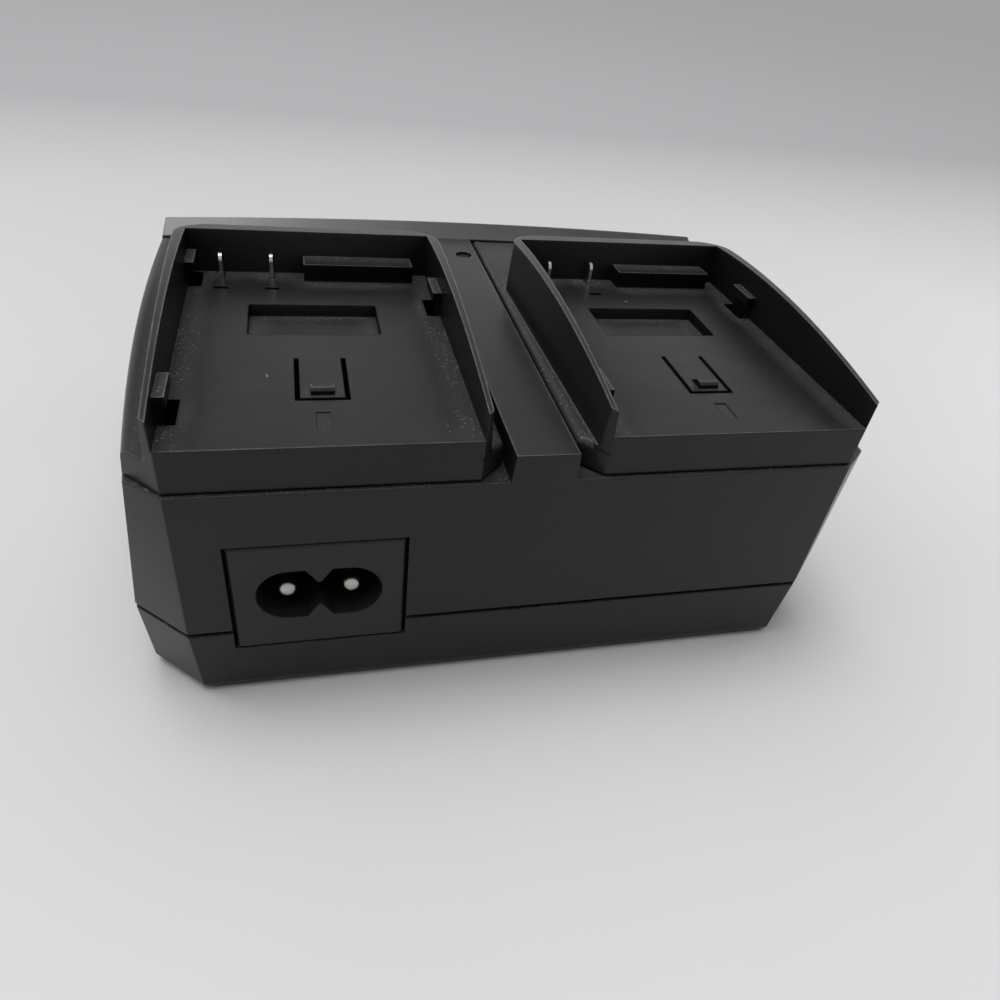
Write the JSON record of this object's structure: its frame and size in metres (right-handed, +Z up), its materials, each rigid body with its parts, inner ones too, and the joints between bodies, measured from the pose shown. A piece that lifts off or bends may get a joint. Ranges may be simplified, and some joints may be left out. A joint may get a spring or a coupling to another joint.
{
  "type": "camera battery charger",
  "caption": "Mains charger for camera batteries: chamfered housing, sliding battery plates with open trays and blade contacts side by side, recessed pin inlet, sloped console at the back.",
  "frame": {"origin": "middle of the bounding box at table level, under the feet", "axes": "+X along the row of the two bays, +Y from the inlet face to the console, +Z up"},
  "size_m": [0.1124, 0.098, 0.0501],
  "materials": {
    "black_abs": "fine spark texture",
    "plate_black": "fine spark texture",
    "inlet_black": "smooth satin",
    "nickel": "nickel plated",
    "board_green": "solder mask",
    "fuse_glass": "clear",
    "winding_copper": "enamelled",
    "sleeve_dark": "shrink sleeve",
    "ferrite": "sintered",
    "winding_tape": "tape",
    "chip_black": "moulded",
    "sink_aluminium": "extruded",
    "lamp_white": "moulded",
    "pipe_clear": "frosted",
    "screw_steel": "zinc",
    "foot_rubber": "moulded"
  },
  "bodies": {
    "housing": {"top_shell": "black_abs", "bottom_cover": "black_abs", "console_panel": "black_abs", "inlet_block": "inlet_black", "inlet_pin_left": "nickel", "inlet_pin_right": "nickel", "main_board": "board_green", "mains_fuse": "fuse_glass", "line_choke": "winding_copper", "bulk_capacitor": "sleeve_dark", "transformer_core": "ferrite", "transformer_winding": "winding_tape", "power_switch": "chip_black", "heat_sink": "sink_aluminium", "output_capacitor_left": "sleeve_dark", "output_capacitor_right": "sleeve_dark", "charge_controller": "chip_black", "left_spring_positive": "nickel", "left_spring_negative": "nickel", "right_spring_positive": "nickel", "right_spring_negative": "nickel", "status_lamp_left": "lamp_white", "status_lamp_right": "lamp_white", "light_pipe_left": "pipe_clear", "light_pipe_right": "pipe_clear", "cover_screws": "screw_steel", "board_screws": "screw_steel", "rubber_feet": "foot_rubber"},
    "left_plate_body": {"left_plate": "plate_black", "left_contact_positive": "nickel", "left_contact_negative": "nickel"},
    "right_plate_body": {"right_plate": "plate_black", "right_contact_positive": "nickel", "right_contact_negative": "nickel"}
  },
  "joints": [
    {"name": "left_plate_slide", "type": "slide", "parent": "housing", "child": "left_plate_body", "axis": [0, -1, 0], "range_m": [0, 0.01]},
    {"name": "right_plate_slide", "type": "slide", "parent": "housing", "child": "right_plate_body", "axis": [0, -1, 0], "range_m": [0, 0.01]}
  ]
}
